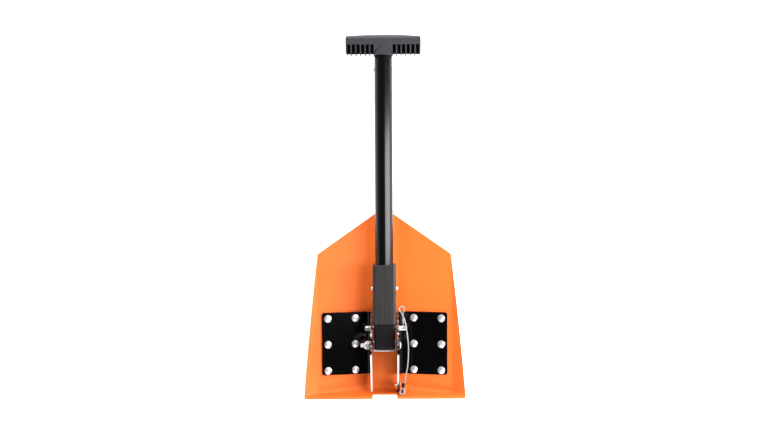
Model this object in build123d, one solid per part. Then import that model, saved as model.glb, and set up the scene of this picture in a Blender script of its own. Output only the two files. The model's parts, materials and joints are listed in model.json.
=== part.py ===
from build123d import *
from math import asin, cos, pi, radians, sin, tan
import os

# Folding camp shovel, folded and lying on its back.
# Millimetres: X right, Y towards the grip, Z up from the floor.

# Blade: a folded steel tray, its tip towards +Y and its shoulder lip at -Y.
SHEET = 2.0
FLOOR_HALF = 25.0
CREASE_X = 118.5
WING_SLOPE = 10.5
FLANGE_SLOPE = 30.0
CORNER = (117.2, -61.2)
SHOULDER = (142.0, -315.4)
APEX_Y = 20.0
SIDE_BOW = 1.2
LIP_ROOT_Y = -302.0
LIP_ANGLE = 73.0
LIP_TOP = 32.4
HEM_DEPTH = 8.0
LIP_BEND = 8.0
NOTCH_HALF = 21.4
NOTCH_Z = 22.5
NOTCH_FLARE = 2.6

# Brackets: black plates riveted to the wings, bent up into two hinge ears.
PLATE = 3.0
EAR_IN = 21.6
EAR_OUT = EAR_IN + PLATE
BEND_IN = 9.5
RELIEF_Z = 13.6
PLATE_EDGE_X = 110.4
PLATE_TOP_Y = -164.8
PLATE_LOW_Y = -275.8
BEND_EDGE_X = 35.0
CROWN_R = 38.0
RIVET_X = (52.3, 100.4)
RIVET_Y = (-175.4, -221.4, -267.8)
RIVET_HEAD_R = 6.5
RIVET_R = 2.5

# Hinge: an M8 bolt across both ears.
PIVOT = (-218.0, 44.0)
BOLT_R = 4.0
LOCK_R = 4.42
LOCK_RADIUS = 29.8
STOW = (-192.5, 19.3)
BUSH_BORE = 4.06
BUSH_R = 5.6
THRUST_IN = 19.45

# Lock pin, parked in the stow holes.
PIN_R = 4.35
PIN_ENDS = (-34.5, 37.5)
PIN_HOLE_X = 34.2

# Handle: block, receiver, tube and grip along Y at the pivot's height.
AXIS_Z = PIVOT[1]
BLOCK_HALF = 18.2
BLOCK_END_Y = -224.2
STRAP = 2.7
STRAP_LEG = 1.1
STRAP_REACH = 10.0
RECEIVER_HALF = 20.0
RECEIVER_Y = (-178.4, -77.0)
TUBE_R = 15.5
TUBE_IN = 13.9
TUBE_Y = (-151.0, 296.0)
INSERT_IN = 11.9
INSERT_Y = (241.0, 295.5)
GRIP_HALF = 63.8
GRIP_TOP = 315.4
GRIP_BAND_Y = 298.2
GRIP_LOW_Y = 281.5
GRIP_CROWN = 3.0
GRIP_WEB = 2.6
SLOT_PITCH = 7.85
SLOT_HALF = 2.8
GRIP_HALF_DEPTH = 17.0

# Snap buttons: two in the receiver and two near the grip.
BUTTON_R = 3.1
BUTTON_HOLE = 3.16
RECEIVER_BUTTON_Y = -118.7
GRIP_BUTTON_Y = 257.7

# Lanyard: coated cable from an ear's foot, round a pull loop, to the pin.
CABLE_R = 1.2
CABLE = [
    (33.4, -290.0, 30.2),
    (39.2, -266.0, 28.4),
    (41.6, -241.5, 27.8),
    (41.3, -216.5, 28.0),
    (38.5, -193.0, 27.6),
    (35.6, -178.5, 26.9),
    (31.2, -166.6, 25.6),
    (24.9, -159.6, 24.4),
    (26.4, -153.4, 23.6),
    (33.6, -153.2, 22.8),
    (34.9, -160.2, 22.0),
    (31.2, -168.4, 20.9),
    (32.4, -185.4, 19.4),
]
TAIL_SLEEVE_R = 2.5
ANCHOR = (-292.4, 18.5)
CLIP = 1.5
EYE = (30.6, -303.2, 30.2)
EYE_SHAPE = [(0.1, 9.0), (-4.4, 0.5), (-3.0, -4.4), (3.0, -4.4), (4.4, 0.5), (2.7, 9.0)]

os.makedirs("parts", exist_ok=True)


def save(node, shape):
    export_step(shape, f"parts/{node}.step")


def rod(x0, x1, radius, y, z):
    """A cylinder along X."""
    return Pos((x0 + x1) / 2, y, z) * Rot(0, 90, 0) * Cylinder(radius, x1 - x0)


def shaft(y0, y1, radius, z=AXIS_Z):
    """A cylinder along Y."""
    return Pos(0, (y0 + y1) / 2, z) * Rot(90, 0, 0) * Cylinder(radius, y1 - y0)


def slab(x0, x1, y0, y1, z0, z1):
    """A box given by its two corners."""
    centre = ((x0 + x1) / 2, (y0 + y1) / 2, (z0 + z1) / 2)
    return Pos(*centre) * Box(x1 - x0, y1 - y0, z1 - z0)


def washer(x0, x1, radius, bore, y, z):
    return rod(x0, x1, radius, y, z) - rod(x0 - 1, x1 + 1, bore, y, z)


def dome(radius, base, height):
    """Half of a dome's outline, from its rim to its top, as (distance from the axis, height)."""
    ball = (radius**2 + height**2) / (2 * height)
    half = asin(radius / ball) / 2
    middle = (ball * sin(half), base + height - ball * (1 - cos(half)))
    return ThreePointArc((radius, base), middle, (0, base + height))


def turned(points, cap):
    """A solid turned about Z from an outline that starts on the axis and ends in a dome."""
    outline = Polyline(*points)
    spine = Line(cap @ 1, points[0])
    return revolve(Plane.XZ * make_face(outline.edges() + [cap.edge(), spine.edge()]), Axis.Z)


def mirrored(shape):
    return mirror(shape, Plane.YZ)


def wing_z(x):
    """Height of the wing's upper surface."""
    return SHEET + (abs(x) - FLOOR_HALF) * tan(radians(WING_SLOPE))


def tray_points(offset):
    """The tray's upper profile, moved outwards by an offset, from its centre to the right."""
    slopes = [0.0, WING_SLOPE, FLANGE_SLOPE]
    end_x = SHOULDER[0] + 20
    end_z = wing_z(CREASE_X) + (end_x - CREASE_X) * tan(radians(FLANGE_SLOPE))
    corners = [(FLOOR_HALF, SHEET), (CREASE_X, wing_z(CREASE_X))]
    points = []
    for (x, z), low, high in zip(corners, slopes, slopes[1:]):
        middle = radians((low + high) / 2)
        reach = offset / cos(radians((high - low) / 2))
        points.append((x + reach * sin(middle), z - reach * cos(middle)))
    last = radians(FLANGE_SLOPE)
    points.append((end_x + offset * sin(last), end_z - offset * cos(last)))
    return points


def lip_y(z, offset=0.0):
    """Where the lip's inner face stands at a height, moved outwards by an offset."""
    return LIP_ROOT_Y - (z - SHEET) / tan(radians(LIP_ANGLE)) - offset / sin(radians(LIP_ANGLE))


def on_lip_root(point, edge_x, offset):
    """Whether a point lies where the lip rises from the tray."""
    return abs(point.Y - lip_y(point.Z, offset)) < 0.05 and point.Z < 50 and abs(point.X) < edge_x


def tray_solid(offset):
    """The space above the tray's surface, which is the tray's hollow where the offset is 0."""
    right = tray_points(offset)
    left = [(-x, z) for x, z in reversed(right)]
    radii = [12.0 + offset, 40.0 + offset, 40.0 + offset, 12.0 + offset]
    lower = FilletPolyline(*left, *right, radius=radii)
    upper = Polyline(right[-1], (right[-1][0], 100), (left[0][0], 100), left[0])
    section = Plane.XZ * make_face(lower.edges() + upper.edges())
    prism = extrude(section, amount=400, both=True)
    low, high = -30, 120
    lip = [(lip_y(low, offset), low), (lip_y(high, offset), high)]
    side = Polyline(lip[0], (60, low), (60, high), lip[1], close=True)
    solid = prism & extrude(Plane.YZ * make_face(side.edges()), amount=250, both=True)
    edge_x = right[-1][0] - 1
    bend = [edge for edge in solid.edges() if on_lip_root(edge.center(), edge_x, offset)]
    return fillet(bend, LIP_BEND + offset)


def plan_outline():
    """The blade's outline from above, as a prism."""
    top = Polyline((-CORNER[0], CORNER[1]), (0, APEX_Y), CORNER)
    middle_x = (CORNER[0] + SHOULDER[0]) / 2 + SIDE_BOW
    middle_y = (CORNER[1] + SHOULDER[1]) / 2
    right = ThreePointArc(CORNER, (middle_x, middle_y), SHOULDER)
    left = mirror(right, Plane.YZ)
    base = Line((-SHOULDER[0], SHOULDER[1]), SHOULDER)
    face = make_face(top.edges() + right.edges() + left.edges() + base.edges())
    corners = face.vertices().sort_by(Axis.Y)
    face = fillet(corners[:2], 3.0)
    face = fillet(face.vertices().sort_by(Axis.Y)[-3:], 2.5)
    return Pos(0, 0, -5) * extrude(face, amount=60)


def rivet_places():
    """Each rivet's place on the right plate: its origin on the upper face, its Z along the rivet."""
    slope = radians(WING_SLOPE)
    across = Vector(cos(slope), 0, sin(slope))
    normal = Vector(-sin(slope), 0, cos(slope))
    for x in RIVET_X:
        for y in RIVET_Y:
            foot = Vector(x, y, wing_z(x)) + normal * PLATE
            yield Plane(origin=foot, x_dir=across, z_dir=normal).location


def rivet_holes():
    return [place * Cylinder(RIVET_R, 20) for place in rivet_places()]


def lip_notch():
    """The gap in the lip between the ears, flared where it meets the lip's top, as a prism along Y."""
    flare = Pos(NOTCH_HALF + NOTCH_FLARE, LIP_TOP - NOTCH_FLARE) * Circle(NOTCH_FLARE)
    width = 2 * (NOTCH_HALF + NOTCH_FLARE)
    mouth = Pos(0, LIP_TOP) * Rectangle(width, 2 * NOTCH_FLARE)
    mouth = mouth - flare - mirror(flare, Plane.YZ)
    throat = Pos(0, NOTCH_Z + 20) * RectangleRounded(2 * NOTCH_HALF, 40, 1.5)
    return extrude(Plane.XZ.offset(290) * (mouth + throat), amount=40)


def blade():
    hollow, outer = tray_solid(0.0), tray_solid(SHEET)
    hem_zone = slab(-160, 160, -340, LIP_ROOT_Y - 4, LIP_TOP - HEM_DEPTH, LIP_TOP)
    hem = (tray_solid(2 * SHEET) - outer) & hem_zone
    sheet = (outer - hollow + hem) & plan_outline() & slab(-160, 160, -340, 40, -5, LIP_TOP)
    sheet -= lip_notch()
    for hole in rivet_holes():
        sheet -= hole
        sheet -= mirrored(hole)
    return sheet


def ear_outline(margin=0.0):
    """The ear's outline seen from the side, with a margin round its crown and heel."""
    y, z = PIVOT
    crown = Pos(y, z) * Circle(CROWN_R + margin)
    front = Pos(PLATE_TOP_Y - 7, 20) * Circle(7)
    heel = Pos(-300.4, 23) * Circle(4 + margin)
    foot = Polyline((-290.0, 0), (PLATE_TOP_Y, 0))
    return make_hull(crown.edges() + front.edges() + heel.edges() + foot.edges())


def ear_mask():
    """The ear's outline as a prism through the ear alone."""
    relief = Pos(PLATE_LOW_Y - 30, RELIEF_Z - 20) * RectangleRounded(60, 40, 1.5)
    outline = ear_outline() - relief
    return extrude(Plane.YZ.offset(EAR_IN - 5) * outline, amount=EAR_OUT - EAR_IN + 5)


def plate_mask():
    """The plate and its bend seen from above, as a prism."""
    width = PLATE_EDGE_X - EAR_IN + 5
    height = PLATE_TOP_Y - PLATE_LOW_Y
    centre = Pos(PLATE_EDGE_X - width / 2, (PLATE_TOP_Y + PLATE_LOW_Y) / 2)
    face = centre * Rectangle(width, height)
    face = fillet(face.vertices().sort_by(Axis.X)[-2:], 4.5)
    return extrude(face, amount=60) - slab(0, EAR_OUT, -300, -100, RELIEF_Z, 100)


def bracket_section():
    """The bent sheet's section: plate, bend and ear."""
    slope = tan(radians(WING_SLOPE))
    lift = PLATE / cos(radians(WING_SLOPE))
    far, high = 130.0, 100.0
    heel = SHEET + (EAR_IN - FLOOR_HALF) * slope
    corner = SHEET + (EAR_OUT - FLOOR_HALF) * slope + lift
    lower = FilletPolyline(
        (far, wing_z(far)), (EAR_IN, heel), (EAR_IN, high), radius=BEND_IN + PLATE
    )
    upper = FilletPolyline(
        (far, wing_z(far) + lift), (EAR_OUT, corner), (EAR_OUT, high), radius=BEND_IN
    )
    ends = [Line(lower @ 0, upper @ 0).edge(), Line(lower @ 1, upper @ 1).edge()]
    return make_face(lower.edges() + upper.edges() + ends)


def bracket():
    body = extrude(Plane.XZ.offset(100) * bracket_section(), amount=230)
    body = body & (ear_mask() + plate_mask())
    y, z = PIVOT
    holes = [(y, z, BOLT_R), (*STOW, LOCK_R)]
    for quarter in range(3):
        angle = quarter * pi / 2
        holes.append((y + LOCK_RADIUS * cos(angle), z + LOCK_RADIUS * sin(angle), LOCK_R))
    for hole_y, hole_z, radius in holes:
        body -= rod(0, 60, radius, hole_y, hole_z)
    for hole in rivet_holes():
        body -= hole
    return body


def rivet():
    """A flat-rimmed rivet standing on z = 0, its shank reaching down through plate and blade."""
    grip = PLATE + SHEET
    outline = [
        (0, -grip - 1.6),
        (3.4, -grip - 1.6),
        (4.2, -grip - 0.8),
        (4.2, -grip),
        (RIVET_R, -grip),
        (RIVET_R, 0),
        (RIVET_HEAD_R - 0.3, 0),
        (RIVET_HEAD_R, 0.3),
        (RIVET_HEAD_R, 0.9),
        (6.1, 1.4),
        (5.4, 1.7),
        (3.9, 1.95),
        (3.7, 1.6),
        (3.3, 1.6),
        (3.1, 1.95),
    ]
    return turned(outline, dome(3.1, 1.95, 0.55))


def save_rivets():
    shape = rivet()
    for i, place in enumerate(rivet_places(), 1):
        placed = place * shape
        save(f"rivet_right_{i}", placed)
        save(f"rivet_left_{i}", mirrored(placed))


def pivot_bolt():
    y, z = PIVOT
    outline = [
        (0, -41.8),
        (2.7, -41.8),
        (3.4, -41.1),
        (3.4, -35.8),
        (BOLT_R, -35.2),
        (BOLT_R, 26.2),
        (6.2, 26.2),
        (6.2, 27.0),
    ]
    bolt = Pos(0, y, z) * Rot(0, 90, 0) * turned(outline, dome(6.2, 27.0, 2.0))
    socket = extrude(Plane.YZ.offset(26.9) * Pos(y, z) * RegularPolygon(2.4, 6), amount=5)
    return bolt - socket


def pivot_nut():
    y, z = PIVOT
    hexagon = extrude(Plane.YZ.offset(-32.8) * Pos(y, z) * RegularPolygon(7.6, 6), amount=6.6)
    round_off = chamfer(rod(-32.8, -26.2, 7.55, y, z).edges(), 0.7)
    collar = rod(-35.2, -32.8, 6.1, y, z)
    collar = fillet(collar.edges().sort_by(Axis.X)[0], 1.0) - rod(-37, -33.6, 4.9, y, z)
    return hexagon & round_off, collar


def save_hinge_hardware():
    y, z = PIVOT
    save("pivot_bolt", pivot_bolt())
    hexagon, collar = pivot_nut()
    save("pivot_nut", hexagon + collar - rod(-50, 0, BOLT_R, y, z))
    save("nut_insert", washer(-35.0, -33.6, 4.9, BOLT_R, y, z))
    save("washer_left", washer(-26.2, -EAR_OUT, 8.2, BOLT_R, y, z))
    save("washer_right", washer(EAR_OUT, 26.2, 8.2, BOLT_R, y, z))
    thrust = washer(THRUST_IN, EAR_IN, 9.0, BOLT_R, y, z)
    save("thrust_washer_right", thrust)
    save("thrust_washer_left", mirrored(thrust))
    save("pivot_bush", washer(-BLOCK_HALF, BLOCK_HALF, BUSH_R, BUSH_BORE, y, z))


def hinge_block():
    """The block that turns between the ears, with a spigot up into the receiver."""
    low, high = AXIS_Z - BLOCK_HALF, AXIS_Z + BLOCK_HALF
    body = slab(-BLOCK_HALF, BLOCK_HALF, BLOCK_END_Y, RECEIVER_Y[0], low, high)
    body = fillet(body.edges().filter_by(Axis.Y), 4.0)
    body = fillet(body.faces().sort_by(Axis.Y)[0].edges().filter_by(Axis.X), 6.0)
    body += shaft(RECEIVER_Y[0], TUBE_Y[0] - 3, TUBE_R)
    body -= rod(-30, 30, BUSH_R, *PIVOT)
    body -= rod(-30, 30, LOCK_R, PIVOT[0] + LOCK_RADIUS, PIVOT[1])
    return body


def end_strap():
    """A U-shaped steel strap under the block, its legs held by the pivot."""
    half = BLOCK_HALF + STRAP_LEG
    ends = (BLOCK_END_Y - STRAP, PIVOT[0] + STRAP_REACH)
    outer = slab(-half, half, *ends, AXIS_Z - STRAP_REACH, AXIS_Z + STRAP_REACH)
    outer = fillet(outer.edges().filter_by(Axis.Z).sort_by(Axis.Y)[:2], 2.5)
    outer = fillet(outer.edges().filter_by(Axis.X).sort_by(Axis.Y)[-2:], 5.0)
    outer -= slab(-BLOCK_HALF, BLOCK_HALF, BLOCK_END_Y, -200, 0, 80)
    return outer - rod(-30, 30, BUSH_BORE + 1.5, *PIVOT)


def receiver():
    height = RECEIVER_Y[1] - RECEIVER_Y[0]
    square = RectangleRounded(2 * RECEIVER_HALF, 2 * RECEIVER_HALF, 5.0)
    body = extrude(Plane.XZ.offset(-RECEIVER_Y[1]) * Pos(0, AXIS_Z) * square, amount=height)
    rims = body.faces().sort_by(Axis.Y)
    body = chamfer(rims[0].edges() + rims[-1].edges(), 0.6)
    body -= shaft(-300, 0, TUBE_R)
    return body - rod(-30, 30, BUTTON_HOLE, RECEIVER_BUTTON_Y, AXIS_Z)


def shaft_tube():
    body = shaft(*TUBE_Y, TUBE_R) - shaft(TUBE_Y[0] - 5, TUBE_Y[1] + 5, TUBE_IN)
    body -= rod(-30, 30, BUTTON_HOLE, RECEIVER_BUTTON_Y, AXIS_Z)
    return body - rod(-30, 30, BUTTON_HOLE, GRIP_BUTTON_Y, AXIS_Z)


def grip_insert():
    body = shaft(*INSERT_Y, TUBE_IN) - shaft(INSERT_Y[0] - 5, INSERT_Y[1] + 5, INSERT_IN)
    return body - rod(-30, 30, BUTTON_HOLE, GRIP_BUTTON_Y, AXIS_Z)


def grip_slots():
    """Six pockets on each side of the stem, front and back, that leave fins on a central web."""
    slots = []
    for i in range(6):
        for side in (-1, 1):
            x = side * (18.9 + SLOT_PITCH * i)
            walls = (x - SLOT_HALF, x + SLOT_HALF)
            slots.append(slab(*walls, GRIP_LOW_Y - 5, GRIP_BAND_Y, AXIS_Z + GRIP_WEB, 90))
            slots.append(slab(*walls, GRIP_LOW_Y - 5, GRIP_BAND_Y, 0, AXIS_Z - GRIP_WEB))
            slots.append(slab(*walls, GRIP_LOW_Y - 5, GRIP_LOW_Y + 2.2, 0, 90))
    return slots


def grip_boss():
    """A low raised arch over the stem, front and back."""
    height = GRIP_HALF_DEPTH + 0.7
    arch = Pos(0, GRIP_LOW_Y - 3.6) * Circle(15.5) & Pos(0, GRIP_LOW_Y + 10) * Rectangle(40, 20)
    boss = Pos(0, 0, AXIS_Z - height) * extrude(arch, amount=2 * height)
    levels = boss.edges().group_by(Axis.Z)
    return chamfer(levels[0] + levels[-1], 0.5)


def grip_profile():
    """The grip's outline seen from the side: a deep band above a tapering skirt."""
    depth = GRIP_HALF_DEPTH
    section = Polyline(
        (GRIP_TOP, AXIS_Z - depth),
        (GRIP_BAND_Y - 2, AXIS_Z - depth),
        (GRIP_LOW_Y, AXIS_Z - depth + 3),
        (GRIP_LOW_Y, AXIS_Z + depth - 3),
        (GRIP_BAND_Y - 2, AXIS_Z + depth),
        (GRIP_TOP, AXIS_Z + depth),
        close=True,
    )
    profile = make_face(section.edges())
    profile = fillet(profile.vertices().sort_by(Axis.X)[-2:], 9.0)
    return fillet(profile.vertices().sort_by(Axis.X)[:2], 2.5)


def grip_plan():
    """The grip's outline seen from above, crowned along its top."""
    end_y = GRIP_TOP - GRIP_CROWN
    top = ThreePointArc((-GRIP_HALF, end_y), (0, GRIP_TOP), (GRIP_HALF, end_y))
    low = [(GRIP_HALF, GRIP_LOW_Y), (-GRIP_HALF, GRIP_LOW_Y)]
    sides = Polyline(top @ 1, *low, top @ 0)
    face = make_face([top.edge()] + sides.edges())
    face = fillet(face.vertices().sort_by(Axis.Y)[:2], 4.5)
    return fillet(face.vertices().sort_by(Axis.Y)[-2:], 2.5)


def grip():
    bar = extrude(Plane.YZ * grip_profile(), amount=GRIP_HALF, both=True)
    bar = bar & extrude(grip_plan(), amount=100)
    for slot in grip_slots():
        bar -= slot
    bar += shaft(GRIP_LOW_Y - 0.6, GRIP_BAND_Y + 1, TUBE_R + 1.3)
    bar += grip_boss()
    return bar - shaft(GRIP_LOW_Y - 10, TUBE_Y[1], TUBE_R)


def clip_spring(bend_y, open_y, half):
    """A hairpin strip inside the tube, its legs behind the two buttons."""
    reach = abs(open_y - bend_y)
    way = 1 if open_y > bend_y else -1
    shapes = []
    for half_width in (half, half - 0.8):
        leg = Pos(0, bend_y + way * reach / 2) * Rectangle(2 * half_width, reach)
        shapes.append(leg + Pos(0, bend_y) * Circle(half_width))
    strip = shapes[0] - shapes[1]
    return Pos(0, 0, AXIS_Z - 3) * extrude(strip, amount=6)


def snap_button(y, foot_x, foot_r, tip_x):
    """A domed button pointing along +X from its foot inside the tube."""
    foot = rod(foot_x, foot_x + 1.2, foot_r, y, AXIS_Z)
    stem = rod(foot_x + 1.0, tip_x, BUTTON_R, y, AXIS_Z)
    return foot + fillet(stem.edges().sort_by(Axis.X)[-1], 1.7)


def save_buttons():
    lower = snap_button(RECEIVER_BUTTON_Y, 11.7, 4.5, 23.6)
    upper = snap_button(GRIP_BUTTON_Y, 9.8, 3.8, 19.0)
    save("receiver_button_right", lower)
    save("receiver_button_left", mirrored(lower))
    save("grip_button_right", upper)
    save("grip_button_left", mirrored(upper))


def lock_pin():
    """A plain pin, rounded at both ends, with a cross hole and a side socket for the lanyard."""
    y, z = STOW
    body = rod(*PIN_ENDS, PIN_R, y, z)
    body = fillet(body.edges(), 1.2)
    body -= Pos(PIN_HOLE_X, y, z) * Cylinder(1.3, 12)
    socket = Pos(CABLE[-1][0], y + 4.0, CABLE[-1][2]) * Rot(90, 0, 0) * Cylinder(1.3, 7)
    return body - socket


def turn(before, corner, after):
    """The angle through which a route turns at a corner, in radians."""
    into = Vector(*corner) - Vector(*before)
    out = Vector(*after) - Vector(*corner)
    return radians(into.get_angle(out))


def route(points):
    """Straight runs joined by tangent arcs, each as large as its two runs allow."""
    radii = []
    for before, corner, after in zip(points, points[1:], points[2:]):
        into = (Vector(*corner) - Vector(*before)).length
        out = (Vector(*after) - Vector(*corner)).length
        radii.append(0.45 * min(into, out) / tan(turn(before, corner, after) / 2))
    return FilletPolyline(*points, radius=radii), radii


def cable_along(path):
    start = Plane(origin=path @ 0, z_dir=path % 0)
    return sweep(start * Circle(CABLE_R), path=path)


def lanyard_cable():
    path, radii = route(CABLE + [(CABLE[-1][0], STOW[0] + 1.2, CABLE[-1][2])])
    cable = cable_along(path)
    print("cable bend radii", [round(r, 1) for r in radii])
    print("cable length", round(path.length, 1), "volume", round(cable.volume), end=" ")
    print("expected", round(path.length * pi * CABLE_R**2))
    return cable


def tail_sleeve(cable):
    """The crimped sleeve on the cable's last run, between the pull loop and the pin."""
    start, end = (Vector(*between(*CABLE[-2:], share)) for share in (0.06, 0.96))
    plane = Plane(origin=start, z_dir=(end - start).normalized())
    body = extrude(plane * Circle(TAIL_SLEEVE_R), amount=(end - start).length)
    return fillet(body.edges(), 0.6) - cable


def between(a, b, share):
    return tuple(p + (q - p) * share for p, q in zip(a, b))


def anchor_eye():
    """A teardrop of cable round the anchor's finger, closed into the lower sleeve."""
    x, y, z = EYE
    path, radii = route([(x + across, y + along, z) for across, along in EYE_SHAPE])
    return cable_along(path)


def anchor_clip():
    """A black clip folded over the ear's heel, its finger up through the eye."""
    y, z = ANCHOR
    plate = slab(EAR_OUT, EAR_OUT + CLIP, -303.0, y + 6, z - 5, z + 7)
    plate = fillet(plate.edges().filter_by(Axis.X), 1.5)
    cover = ear_outline(CLIP) & Pos(-299, 30) * Rectangle(21, 20)
    plate += extrude(Plane.YZ.offset(EAR_OUT) * cover, amount=CLIP)
    band = cover - ear_outline()
    plate += extrude(Plane.YZ.offset(EAR_IN) * band, amount=EAR_OUT + CLIP - EAR_IN)
    arm = slab(EAR_OUT + 0.5, EYE[0] + 1.4, EYE[1] - 1.4, EYE[1] + 1.4, z - 4, z - 1)
    top = EYE[2] + 3.0
    finger = Pos(EYE[0], EYE[1], (z - 4 + top) / 2) * Cylinder(1.4, top - (z - 4))
    return plate + arm + finger - rod(0, 60, 2.0, y, z)


def anchor_rivet():
    y, z = ANCHOR
    shank = rod(EAR_IN, EAR_OUT + CLIP, 2.0, y, z)
    inner = fillet(rod(EAR_IN - 4.2, EAR_IN, 2.4, y, z).edges().sort_by(Axis.X)[0], 1.5)
    outer = rod(EAR_OUT + CLIP, EAR_OUT + CLIP + 1.2, 3.2, y, z)
    outer = fillet(outer.edges().sort_by(Axis.X)[-1], 0.8)
    return shank + inner + outer


def anchor_sleeve(eye, cable):
    """The crimped sleeve that closes the eye onto the cable."""
    y = EYE[1] + EYE_SHAPE[0][1]
    body = Pos(EYE[0] + 1.6, y + 2.6, EYE[2]) * Rot(90, 0, 0) * Cylinder(2.9, 7.6)
    body = fillet(body.edges(), 0.6)
    return body - eye - cable


def save_lanyard():
    cable = lanyard_cable()
    eye = anchor_eye()
    save("lanyard_cable", cable)
    save("tail_sleeve", tail_sleeve(cable))
    save("anchor_eye", eye)
    save("anchor_sleeve", anchor_sleeve(eye, cable))
    save("anchor_clip", anchor_clip())
    save("anchor_rivet", anchor_rivet())


def save_blade():
    right = bracket() - rod(0, 60, 2.0, *ANCHOR)
    save("blade", blade())
    save("bracket_right", right)
    save("bracket_left", mirrored(bracket()))
    save_rivets()


def save_handle():
    save("hinge_block", hinge_block())
    save("end_strap", end_strap())
    save("receiver", receiver())
    save("shaft_tube", shaft_tube())
    save("grip_insert", grip_insert())
    save("grip", grip())
    save("receiver_spring", clip_spring(-66, -125, 11.7))
    save("grip_spring", clip_spring(279, 252, 9.8))


save_blade()
save_hinge_hardware()
save_handle()
save_buttons()
save("lock_pin", lock_pin())
save_lanyard()
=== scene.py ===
"""Folding camp shovel on its back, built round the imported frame. Metres, in the frame's own axes."""

import json
import math

import bmesh
import bpy
from mathutils import Matrix, Vector


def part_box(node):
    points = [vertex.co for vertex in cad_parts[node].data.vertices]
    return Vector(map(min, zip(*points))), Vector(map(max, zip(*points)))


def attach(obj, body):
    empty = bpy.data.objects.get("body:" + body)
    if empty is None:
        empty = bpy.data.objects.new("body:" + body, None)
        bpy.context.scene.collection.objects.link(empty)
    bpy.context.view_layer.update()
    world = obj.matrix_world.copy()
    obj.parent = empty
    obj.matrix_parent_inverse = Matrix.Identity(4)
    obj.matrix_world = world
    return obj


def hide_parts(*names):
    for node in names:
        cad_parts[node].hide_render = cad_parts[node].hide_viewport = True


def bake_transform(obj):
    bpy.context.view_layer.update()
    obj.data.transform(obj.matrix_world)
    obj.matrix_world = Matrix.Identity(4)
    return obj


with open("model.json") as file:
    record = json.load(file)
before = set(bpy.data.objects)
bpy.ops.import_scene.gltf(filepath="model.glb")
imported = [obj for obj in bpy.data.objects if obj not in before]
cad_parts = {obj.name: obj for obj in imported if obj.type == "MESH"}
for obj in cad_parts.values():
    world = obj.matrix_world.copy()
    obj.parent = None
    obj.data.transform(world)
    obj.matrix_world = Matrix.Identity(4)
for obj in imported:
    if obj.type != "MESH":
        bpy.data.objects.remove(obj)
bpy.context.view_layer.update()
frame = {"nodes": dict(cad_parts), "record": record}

# Camera: straight above the folded shovel, leaning a little towards the grip.
AIM = Vector((0.0017, 0.0058, 0.044))
DISTANCE = 1.5
LEAN = math.radians(2.5)
ROLL = math.radians(0.3)
SENSOR = 36.0
# The width of the scene that fills the frame at AIM.
SEEN_WIDTH = 1.32825

# Lights: a long key softbox on the right, low ones beyond both ends, and a dark ceiling.
# Each softbox has its place, its size and its power.
SOFTBOXES = {
    "key": ((1.20, 0.0, 1.06), (0.5, 2.0), 56),
    "lip_side": ((0.0, -1.50, 1.20), (1.4, 0.5), 22),
    "grip_side": ((0.0, 1.60, 0.70), (1.4, 0.4), 27),
}
LIGHT_TARGET = (0.0, -0.05, 0.03)
# The room's brightness against height: pale at the horizon, dark overhead.
WORLD_FADE = {"From Min": 0.16, "From Max": 0.74, "To Min": 0.95, "To Max": 0.03}

# Floor: pale, and glowing a little so that it reads as white.
FLOOR_HALF = 6.0
FLOOR_Z = -0.0005
FLOOR_GREY = 0.9
FLOOR_GLOW = 0.88

# Lanyard cable: its route from the anchor eye, round the pull loop, into the pin.
CABLE_DIAMETER = 0.0024
CABLE_ROUTE = [
    (0.0334, -0.2900, 0.0302),
    (0.0392, -0.2660, 0.0284),
    (0.0416, -0.2415, 0.0278),
    (0.0413, -0.2165, 0.0280),
    (0.0385, -0.1930, 0.0276),
    (0.0356, -0.1785, 0.0269),
    (0.0312, -0.1666, 0.0256),
    (0.0249, -0.1596, 0.0244),
    (0.0264, -0.1534, 0.0236),
    (0.0336, -0.1532, 0.0228),
    (0.0349, -0.1602, 0.0220),
    (0.0312, -0.1684, 0.0209),
    (0.0324, -0.1854, 0.0194),
    (0.0324, -0.1913, 0.0194),
]
CABLE_ROUTE_STEPS = 20
CABLE_SIDES = 36
# Six laid strands, one turn in 11 mm, each standing a little proud.
CABLE_LOBES = 6
CABLE_LAY = 0.011
CABLE_RELIEF = 0.00006

# Brackets: the ears' cut edges are painted pale, partly as bare steel and partly as a painted
# highlight, whole on the lip's side of CROWN_Y and only in patches on the grip's side, where the crown
# takes painted shade. A face counts as an edge while its normal's X is under EDGE_NORMAL_X.
EAR_OUTER_X = 0.0248
EAR_LOW_Z = 0.0140
# Painted shade: beyond this towards the crown, the pale edges thin out to patches.
CROWN_Y = (-0.232, -0.227)
EDGE_NORMAL_X = 0.6

# Bolt stub beyond the nut, and its M8 thread.
THREAD_X = (-0.0412, -0.0354)
THREAD_ROOT = 0.00338
THREAD_CREST = 0.00398
THREAD_PITCH = 0.00125
THREAD_FADE_IN = 0.0008
THREAD_FADE_OUT = 0.0004
THREAD_STEPS = 90
THREAD_SIDES = 48

# Rounded edges on CAD nodes.
SOFT_ANGLE = math.radians(50)
SOFT_SEGMENTS = 2
SOFT_WIDTHS = {
    "bracket_left": 0.00035,
    "bracket_right": 0.00035,
    "end_strap": 0.00035,
    "anchor_clip": 0.00035,
    "pivot_nut": 0.0003,
    "lock_pin": 0.0003,
}
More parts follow.
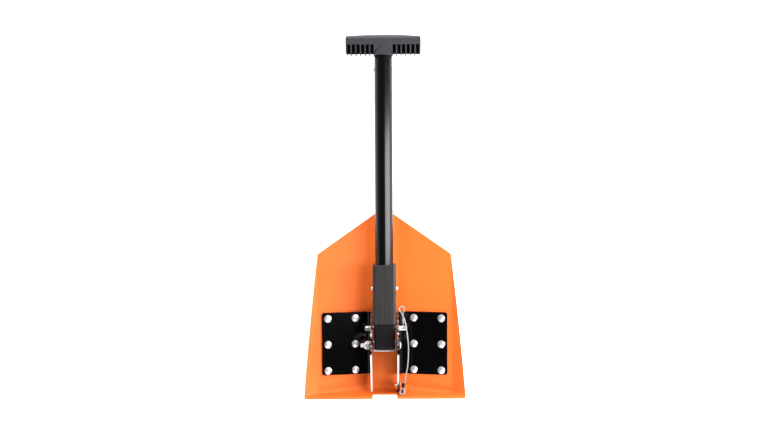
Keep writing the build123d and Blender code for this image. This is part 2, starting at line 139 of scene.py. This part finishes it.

# Finishes, in linear RGB: a dark and a light tone each, the colour of worn edges, and the painted
# shade in a moulding's pockets with how far it looks for their walls.
ORANGE_TONES = ((0.84, 0.145, 0.0195), (0.87, 0.160, 0.0235))
ORANGE_EDGE = (0.94, 0.26, 0.07)
BLACK_TONES = ((0.0008, 0.0008, 0.0008), (0.0014, 0.0014, 0.0015))
BLACK_EDGE = (0.03, 0.03, 0.03)
# Pale tones of the ears' cut edges: bare steel and painted highlight in one.
CUT_STEEL_HIGHLIGHT_TONES = ((0.45, 0.44, 0.42), (0.80, 0.79, 0.77))
ANODISED_EDGE = (0.09, 0.09, 0.09)
CABLE_TONES = ((0.24, 0.235, 0.22), (0.42, 0.41, 0.39))
SLEEVE_TONES = ((0.05, 0.048, 0.045), (0.50, 0.48, 0.46))
# Painted shade: the near black painted deep in a moulding's pockets.
POCKET_SHADE = (0.0005, 0.0005, 0.0005)
POCKET_SHADE_REACH = 0.012
# Wear on an edge goes from full to none between these cosines of its rounded normal's turn.
EDGE_TURN = (0.86, 0.995)


# ---------------------------------------------------------------- materials


class Paint:
    """A material being built: its node tree with short ways to add the usual nodes."""

    def __init__(self, name):
        self.material = bpy.data.materials.new(name)
        self.material.use_nodes = True
        self.tree = self.material.node_tree
        self.shader = self.tree.nodes["Principled BSDF"]
        self.coords = self.tree.nodes.new("ShaderNodeTexCoord")

    def link(self, a, b):
        self.tree.links.new(a, b)

    def set(self, **values):
        for key, value in values.items():
            self.shader.inputs[key.replace("_", " ")].default_value = value

    def feed(self, socket, value):
        """Give a socket a number, a colour or another node's output."""
        if isinstance(value, float):
            socket.default_value = value
        elif isinstance(value, tuple):
            socket.default_value = (*value, 1.0)
        else:
            self.link(value, socket)

    def mapped(self, stretch=(1, 1, 1)):
        node = self.tree.nodes.new("ShaderNodeMapping")
        node.inputs["Scale"].default_value = stretch
        self.link(self.coords.outputs["Object"], node.inputs["Vector"])
        return node.outputs["Vector"]

    def noise(self, scale, detail=3.0, rough=0.5, stretch=(1, 1, 1)):
        node = self.tree.nodes.new("ShaderNodeTexNoise")
        node.inputs["Scale"].default_value = scale
        node.inputs["Detail"].default_value = detail
        node.inputs["Roughness"].default_value = rough
        self.link(self.mapped(stretch), node.inputs["Vector"])
        return node.outputs["Fac"]

    def ramp(self, factor, low, high, start=0.0, end=1.0):
        """A value from low to high as factor goes from start to end."""
        node = self.tree.nodes.new("ShaderNodeMapRange")
        node.inputs["From Min"].default_value = start
        node.inputs["From Max"].default_value = end
        node.inputs["To Min"].default_value = low
        node.inputs["To Max"].default_value = high
        self.link(factor, node.inputs["Value"])
        return node.outputs["Result"]

    def mix(self, factor, first, second):
        """A colour between two colours, either of which may be another node's output."""
        node = self.tree.nodes.new("ShaderNodeMix")
        node.data_type = "RGBA"
        self.feed(node.inputs["A"], first)
        self.feed(node.inputs["B"], second)
        self.link(factor, node.inputs["Factor"])
        return node.outputs["Result"]

    def maths(self, operation, *values):
        """The result of a Math node."""
        node = self.tree.nodes.new("ShaderNodeMath")
        node.operation = operation
        for socket, value in zip(node.inputs, values):
            self.feed(socket, value)
        return node.outputs["Value"]

    def product(self, first, second):
        return self.maths("MULTIPLY", first, second)

    def larger(self, first, second):
        return self.maths("MAXIMUM", first, second)

    def edges(self, radius, strength):
        """From 0 on a flat face up to strength on an edge, broken up by noise."""
        bevel = self.tree.nodes.new("ShaderNodeBevel")
        bevel.samples = 4
        bevel.inputs["Radius"].default_value = radius
        shape = self.tree.nodes.new("ShaderNodeNewGeometry")
        dot = self.tree.nodes.new("ShaderNodeVectorMath")
        dot.operation = "DOT_PRODUCT"
        self.link(bevel.outputs["Normal"], dot.inputs[0])
        self.link(shape.outputs["Normal"], dot.inputs[1])
        turned = self.ramp(dot.outputs["Value"], strength, 0.0, *EDGE_TURN)
        patches = self.ramp(self.noise(260.0), 0.5, 1.0, start=0.3, end=0.6)
        return self.product(turned, patches)

    def pocket_light(self, reach):
        """Painted shade: 1 out in the open, down to 0 deep in the object's own pockets, where shade
        falls.
        """
        node = self.tree.nodes.new("ShaderNodeAmbientOcclusion")
        node.only_local = True
        node.samples = 8
        node.inputs["Distance"].default_value = reach
        return self.ramp(node.outputs["AO"], 0.0, 1.0, start=0.40, end=0.80)

    def parts(self, vector):
        node = self.tree.nodes.new("ShaderNodeSeparateXYZ")
        self.link(vector, node.inputs["Vector"])
        return node.outputs

    def cut_edge_and_highlight(self):
        """1 on the ears' cut edges, painted pale as bare steel and as a highlight, 0 elsewhere;
        towards the crown only in patches, as painted shade.
        """
        place = self.parts(self.coords.outputs["Object"])
        normal = self.parts(self.coords.outputs["Normal"])
        inside = self.maths("LESS_THAN", self.maths("ABSOLUTE", place["X"]), EAR_OUTER_X)
        above = self.maths("GREATER_THAN", place["Z"], EAR_LOW_Z)
        edge = self.maths("LESS_THAN", self.maths("ABSOLUTE", normal["X"]), EDGE_NORMAL_X)
        cut = self.product(self.product(inside, above), edge)
        patches = self.ramp(self.noise(300.0, detail=2.0), 0.0, 0.5, start=0.48, end=0.60)
        # Painted shade at the crown: the full pale edge only on the lip's side.
        whole = self.ramp(place["Y"], 1.0, 0.0, *CROWN_Y)
        return self.product(cut, self.larger(whole, patches))

    def bump(self, height, depth, normal=None):
        node = self.tree.nodes.new("ShaderNodeBump")
        node.inputs["Distance"].default_value = depth
        node.inputs["Strength"].default_value = 1.0
        self.link(height, node.inputs["Height"])
        if normal is not None:
            self.link(normal, node.inputs["Normal"])
        self.link(node.outputs["Normal"], self.shader.inputs["Normal"])
        return node.outputs["Normal"]

    def colour(self, socket):
        self.link(socket, self.shader.inputs["Base Color"])

    def roughness(self, socket):
        self.link(socket, self.shader.inputs["Roughness"])


def powder_orange():
    """Orange powder coat: a fine orange-peel skin, slow changes of tone, thinner along edges."""
    p = Paint("powder_orange")
    p.set(Specular_IOR_Level=0.22)
    tone = p.ramp(p.noise(6.0, detail=2.0), 0.0, 1.0, start=0.35, end=0.65)
    body = p.mix(tone, *ORANGE_TONES)
    p.colour(p.mix(p.edges(radius=0.0009, strength=0.55), body, ORANGE_EDGE))
    p.roughness(p.ramp(p.noise(140.0), 0.46, 0.58))
    peel = p.bump(p.noise(900.0, detail=2.0), depth=0.00004)
    p.bump(p.noise(5200.0, detail=2.0), depth=0.000012, normal=peel)
    return p.material


def black_coat(p):
    """Black powder coat's gloss and pebbled skin on p, and its colour and roughness to use."""
    p.set(Specular_IOR_Level=0.4)
    p.bump(p.noise(2600.0, detail=2.0), depth=0.000012)
    body = p.mix(p.noise(60.0), *BLACK_TONES)
    colour = p.mix(p.edges(radius=0.0006, strength=0.35), body, BLACK_EDGE)
    return colour, p.ramp(p.noise(180.0), 0.11, 0.15)


def powder_black():
    """Black powder coat, rubbed a little grey along its edges."""
    p = Paint("powder_black")
    colour, roughness = black_coat(p)
    p.colour(colour)
    p.roughness(roughness)
    return p.material


def bracket_black():
    """The brackets' powder coat, with pale steel on the ears' cut edges: partly bare laser-cut steel,
    partly a painted highlight.
    """
    p = Paint("bracket_black")
    colour, roughness = black_coat(p)
    bare = p.cut_edge_and_highlight()
    # Painted highlight and bare steel: the pale colour laid on the cut edges.
    steel = p.mix(p.noise(420.0, rough=0.7), *CUT_STEEL_HIGHLIGHT_TONES)
    p.colour(p.mix(bare, colour, steel))
    p.link(p.ramp(bare, 0.0, 0.5), p.shader.inputs["Metallic"])
    p.roughness(p.larger(roughness, p.ramp(bare, 0.0, 0.45)))
    return p.material


def bright_metal(name, colour, rough, metal=1.0):
    """Bright turned or drawn metal with faint smudges and short scratches."""
    p = Paint(name)
    p.set(Metallic=metal)
    dull = tuple(c * 0.8 for c in colour)
    p.colour(p.mix(p.noise(220.0, detail=4.0, rough=0.6), dull, colour))
    p.roughness(p.ramp(p.noise(320.0, detail=4.0, rough=0.7), rough - 0.08, rough + 0.08))
    scratches = p.noise(1500.0, detail=4.0, rough=0.7, stretch=(1.0, 0.25, 1.0))
    p.bump(scratches, depth=0.00002)
    return p.material


def anodised(name, dark, light, rough, streak, worn):
    """Anodised extrusion: fine lines along the shaft, paler along its edges."""
    p = Paint(name)
    p.set(Specular_IOR_Level=0.24)
    lines = p.noise(1.0, detail=4.0, rough=0.65, stretch=(900.0, 9.0, 900.0))
    body = p.mix(p.ramp(lines, 0.0, 1.0, start=0.3, end=0.72), dark, light)
    p.colour(p.mix(p.edges(radius=0.0008, strength=worn), body, ANODISED_EDGE))
    broad = p.noise(1.0, rough=0.6, stretch=(600.0, 14.0, 600.0))
    p.roughness(p.ramp(broad, rough - 0.05, rough + 0.05))
    p.bump(lines, depth=streak)
    return p.material


def moulded(name, dark, light, rough, grain, shine=0.3):
    """Moulded plastic: a spark-eroded grain, painted shade in its pockets, polished along its edges.
    """
    p = Paint(name)
    p.set(Specular_IOR_Level=shine)
    pale = tuple(min(1.0, c * 2.2) for c in light)
    body = p.mix(p.noise(90.0), dark, light)
    body = p.mix(p.edges(radius=0.0007, strength=0.25), body, pale)
    # Painted shade: the colour goes to near black deep in the pockets, where the walls keep light out.
    p.colour(p.mix(p.pocket_light(POCKET_SHADE_REACH), POCKET_SHADE, body))
    p.roughness(p.ramp(p.noise(240.0), rough - 0.05, rough + 0.07))
    p.bump(p.noise(2400.0, detail=2.0), depth=grain)
    return p.material


def coated_cable():
    """Wire rope under a clear skin, its pale strands a little uneven in tone."""
    p = Paint("coated_cable")
    p.set(Coat_Weight=0.5, Coat_Roughness=0.18, Metallic=0.1, Roughness=0.42)
    p.colour(p.mix(p.noise(700.0), *CABLE_TONES))
    p.bump(p.noise(2200.0), depth=0.00002)
    return p.material


def crimped():
    """A crimped sleeve: slanting press marks round drab metal."""
    p = Paint("sleeve_grey")
    p.set(Metallic=0.6, Roughness=0.42)
    wave = p.tree.nodes.new("ShaderNodeTexWave")
    wave.bands_direction = "DIAGONAL"
    wave.inputs["Scale"].default_value = 190.0
    wave.inputs["Distortion"].default_value = 1.5
    p.link(p.mapped(), wave.inputs["Vector"])
    p.colour(p.mix(wave.outputs["Fac"], *SLEEVE_TONES))
    p.bump(wave.outputs["Fac"], depth=0.0002)
    return p.material


MATERIALS = {
    "blade_orange": powder_orange(),
    "bracket_black": bracket_black(),
    "clip_black": powder_black(),
    "rivet_steel": bright_metal("rivet_steel", (0.84, 0.84, 0.86), rough=0.30, metal=0.8),
    "zinc_steel": bright_metal("zinc_steel", (0.90, 0.885, 0.86), rough=0.26, metal=0.5),
    "spring_steel": bright_metal("spring_steel", (0.42, 0.42, 0.43), rough=0.3),
    "sleeve_grey": crimped(),
    "insert_aluminium": bright_metal("insert_aluminium", (0.70, 0.70, 0.71), rough=0.35),
    "bush_bronze": bright_metal("bush_bronze", (0.55, 0.38, 0.18), rough=0.35),
    "receiver_anodised": anodised(
        "receiver_anodised",
        dark=(0.013, 0.012, 0.0125),
        light=(0.038, 0.035, 0.036),
        rough=0.36,
        streak=0.00004,
        worn=0.3,
    ),
    "tube_anodised": anodised(
        "tube_anodised",
        dark=(0.0026, 0.0026, 0.0027),
        light=(0.0044, 0.0044, 0.0045),
        rough=0.17,
        streak=0.000004,
        worn=0.1,
    ),
    "block_nylon": moulded(
        "block_nylon",
        dark=(0.0046, 0.0035, 0.0044),
        light=(0.0070, 0.0055, 0.0067),
        rough=0.5,
        grain=0.00002,
        shine=0.1,
    ),
    "grip_plastic": moulded(
        "grip_plastic",
        dark=(0.026, 0.027, 0.032),
        light=(0.038, 0.039, 0.046),
        rough=0.45,
        grain=0.00003,
    ),
    "nylon_insert": moulded(
        "nylon_insert",
        dark=(0.55, 0.52, 0.44),
        light=(0.65, 0.62, 0.52),
        rough=0.45,
        grain=0.00001,
    ),
    "nylon_washer": moulded(
        "nylon_washer",
        dark=(0.30, 0.035, 0.02),
        light=(0.38, 0.05, 0.03),
        rough=0.45,
        grain=0.00001,
    ),
    "sleeve_black": moulded(
        "sleeve_black",
        dark=(0.006, 0.006, 0.006),
        light=(0.010, 0.010, 0.010),
        rough=0.4,
        grain=0.00002,
    ),
    "cable_coated": coated_cable(),
}


def paint_frame():
    """Every CAD node takes the material of its record slot."""
    for part in frame["record"]["subparts"]:
        node = frame["nodes"][part["node"]]
        node.data.materials.clear()
        node.data.materials.append(MATERIALS[part["material_slot"]])


def soften_edges():
    """Small rounded edges on CAD nodes."""
    for node, width in SOFT_WIDTHS.items():
        bevel = frame["nodes"][node].modifiers.new("soft_edges", "BEVEL")
        bevel.width = width
        bevel.segments = SOFT_SEGMENTS
        bevel.limit_method = "ANGLE"
        bevel.angle_limit = SOFT_ANGLE


# ---------------------------------------------------------------- pieces


def add_object(name, data):
    """A new object in the scene."""
    added = bpy.data.objects.new(name, data)
    bpy.context.scene.collection.objects.link(added)
    return added


def lanyard_line():
    """The cable's smooth line: points read from its route's NURBS spline."""
    curve = bpy.data.curves.new("lanyard_route", "CURVE")
    curve.dimensions = "3D"
    curve.resolution_u = CABLE_ROUTE_STEPS
    spline = curve.splines.new("NURBS")
    spline.points.add(len(CABLE_ROUTE) - 1)
    for point, place in zip(spline.points, CABLE_ROUTE):
        point.co = (*place, 1.0)
    spline.order_u = 3
    spline.use_endpoint_u = True
    holder = add_object("lanyard_route", curve)
    bpy.context.view_layer.update()
    line = bpy.data.meshes.new_from_object(holder)
    points = [vertex.co.copy() for vertex in line.vertices]
    bpy.data.objects.remove(holder)
    bpy.data.curves.remove(curve)
    bpy.data.meshes.remove(line)
    return points


def tube_mesh(name, line, radius_at, sides):
    """A closed tube along a line, its radius given by (distance along, angle round)."""
    built = bmesh.new()
    side = None
    travelled = 0.0
    rings = []
    for i, point in enumerate(line):
        ahead = line[min(i + 1, len(line) - 1)]
        behind = line[max(i - 1, 0)]
        along = (ahead - behind).normalized()
        side = side or along.orthogonal()
        side = (side - along * side.dot(along)).normalized()
        across = along.cross(side)
        travelled += (point - line[max(i - 1, 0)]).length
        ring = []
        for j in range(sides):
            angle = 2 * math.pi * j / sides
            out = side * math.cos(angle) + across * math.sin(angle)
            ring.append(built.verts.new(point + out * radius_at(travelled, angle)))
        rings.append(ring)
    for low, high in zip(rings, rings[1:]):
        for j in range(sides):
            k = (j + 1) % sides
            built.faces.new((low[j], low[k], high[k], high[j]))
    built.faces.new(rings[0][::-1])
    built.faces.new(rings[-1])
    for face in built.faces:
        face.smooth = len(face.verts) == 4
    mesh = bpy.data.meshes.new(name)
    built.to_mesh(mesh)
    built.free()
    return mesh


def strand_radius(travelled, angle):
    """The cable's skin, lifted a little over each of its laid strands."""
    twist = 2 * math.pi * travelled / CABLE_LAY
    return CABLE_DIAMETER / 2 - CABLE_RELIEF * (1 - math.cos(CABLE_LOBES * angle - twist))


def lanyard_cable():
    """The cable along its route from the anchor to the pin, in place of the CAD cable, which is
    hidden.
    """
    line = lanyard_line()
    mesh = tube_mesh("lanyard", line, strand_radius, CABLE_SIDES)
    mesh.materials.append(MATERIALS["cable_coated"])
    piece = add_object("lanyard", mesh)
    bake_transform(piece)
    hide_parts("lanyard_cable")


def thread_radius(travelled, angle):
    """A thread's flanks, fading out at both ends."""
    turn = (travelled / THREAD_PITCH - angle / (2 * math.pi)) % 1.0
    rise = 1.0 - abs(2.0 * turn - 1.0)
    length = THREAD_X[1] - THREAD_X[0]
    fade = min(1.0, travelled / THREAD_FADE_IN, (length - travelled) / THREAD_FADE_OUT)
    return THREAD_ROOT + (THREAD_CREST - THREAD_ROOT) * rise * max(0.0, fade)


def bolt_thread():
    """The thread on the bolt's free end."""
    low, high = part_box("pivot_nut")
    middle = (low + high) / 2
    length = THREAD_X[1] - THREAD_X[0]
    line = [
        Vector((THREAD_X[0] + length * i / THREAD_STEPS, middle.y, middle.z))
        for i in range(THREAD_STEPS + 1)
    ]
    mesh = tube_mesh("bolt_thread", line, thread_radius, THREAD_SIDES)
    mesh.materials.append(MATERIALS["zinc_steel"])
    piece = add_object("bolt_thread", mesh)
    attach(piece, "blade")


# ---------------------------------------------------------------- stage


def make_floor():
    half = FLOOR_HALF
    corners = [(-half, -half, 0), (half, -half, 0), (half, half, 0), (-half, half, 0)]
    mesh = bpy.data.meshes.new("floor")
    mesh.from_pydata(corners, [], [(0, 1, 2, 3)])
    floor = add_object("floor", mesh)
    floor.location = (0, 0, FLOOR_Z)
    p = Paint("studio_floor")
    p.set(Base_Color=(FLOOR_GREY, FLOOR_GREY, FLOOR_GREY, 1))
    p.set(Roughness=0.9, Specular_IOR_Level=0.0)
    p.set(Emission_Color=(1, 1, 1, 1), Emission_Strength=FLOOR_GLOW)
    mesh.materials.append(p.material)


def softbox(name, place, size, power):
    data = bpy.data.lights.new(name, "AREA")
    data.shape = "RECTANGLE"
    data.size, data.size_y = size
    data.energy = power
    light = add_object(name, data)
    light.location = place
    aim = Vector(LIGHT_TARGET) - Vector(place)
    light.rotation_euler = aim.to_track_quat("-Z", "Y").to_euler()


def make_world():
    """A pale room whose ceiling is dark, so flat black faces stay black from above."""
    world = bpy.data.worlds.new("studio")
    world.use_nodes = True
    nodes = world.node_tree.nodes
    links = world.node_tree.links
    coords = nodes.new("ShaderNodeTexCoord")
    height = nodes.new("ShaderNodeSeparateXYZ")
    fade = nodes.new("ShaderNodeMapRange")
    fade.interpolation_type = "SMOOTHSTEP"
    for key, value in WORLD_FADE.items():
        fade.inputs[key].default_value = value
    links.new(coords.outputs["Generated"], height.inputs["Vector"])
    links.new(height.outputs["Z"], fade.inputs["Value"])
    nodes["Background"].inputs["Color"].default_value = (1, 1, 1, 1)
    links.new(fade.outputs["Result"], nodes["Background"].inputs["Strength"])
    bpy.context.scene.world = world


def make_lights():
    make_world()
    for name, (place, size, power) in SOFTBOXES.items():
        softbox(name, place, size, power)


def make_camera():
    back = Vector((0, math.sin(LEAN), math.cos(LEAN)))
    right = Vector((1, 0, 0))
    up = back.cross(right)
    turned_up = up * math.cos(ROLL) + right * math.sin(ROLL)
    turned_right = right * math.cos(ROLL) - up * math.sin(ROLL)
    data = bpy.data.cameras.new("camera")
    data.sensor_width = SENSOR
    data.lens = SENSOR * DISTANCE / SEEN_WIDTH
    camera = add_object("camera", data)
    axes = Matrix((turned_right, turned_up, back)).transposed().to_4x4()
    camera.matrix_world = Matrix.Translation(AIM + back * DISTANCE) @ axes
    bpy.context.scene.camera = camera


make_camera()
lanyard_cable()
paint_frame()
soften_edges()
bolt_thread()
make_floor()
make_lights()
bpy.context.scene.view_settings.view_transform = "Standard"
